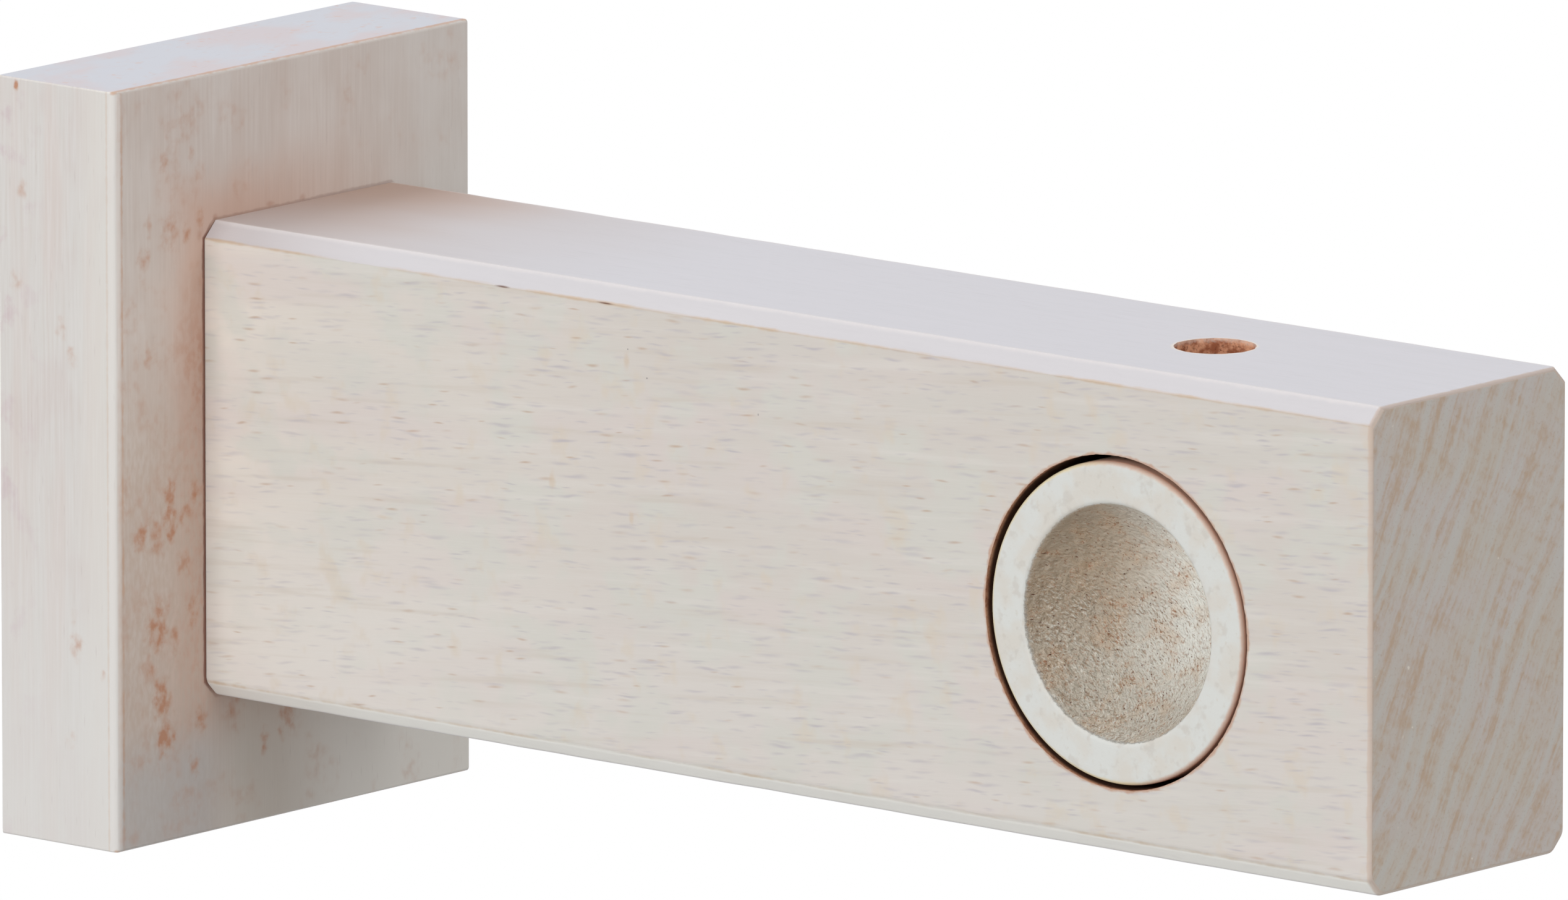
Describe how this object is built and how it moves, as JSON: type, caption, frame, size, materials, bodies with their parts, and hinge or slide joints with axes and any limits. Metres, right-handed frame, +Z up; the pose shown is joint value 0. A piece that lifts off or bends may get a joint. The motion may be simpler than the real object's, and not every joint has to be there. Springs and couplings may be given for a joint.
{
  "type": "wall bracket",
  "caption": "Wooden wall bracket for a curtain pole: a flat back plate, a square arm with a cross bore that holds a dished turned plug, and a locking screw from above.",
  "frame": {"origin": "centre of the back plate's back face, which lies on the wall", "axes": "+X out of the wall along the arm, +Y along the wall away from the dished side, +Z up"},
  "size_m": [0.1451, 0.047, 0.0676],
  "materials": {
    "limed_beech": "thin matt whitewash over planed beech",
    "limed_end_grain": "thick matt whitewash over turned end grain, rougher in the dish",
    "zinc_plated_steel": "bright zinc",
    "insert_brass": "plain turned brass"
  },
  "bodies": {
    "root": {"back_plate": "limed_beech", "arm": "limed_beech", "cup_plug": "limed_end_grain", "locking_screw": "zinc_plated_steel", "upper_joint_screw": "zinc_plated_steel", "lower_joint_screw": "zinc_plated_steel", "wall_insert_nut": "insert_brass"}
  },
  "joints": []
}
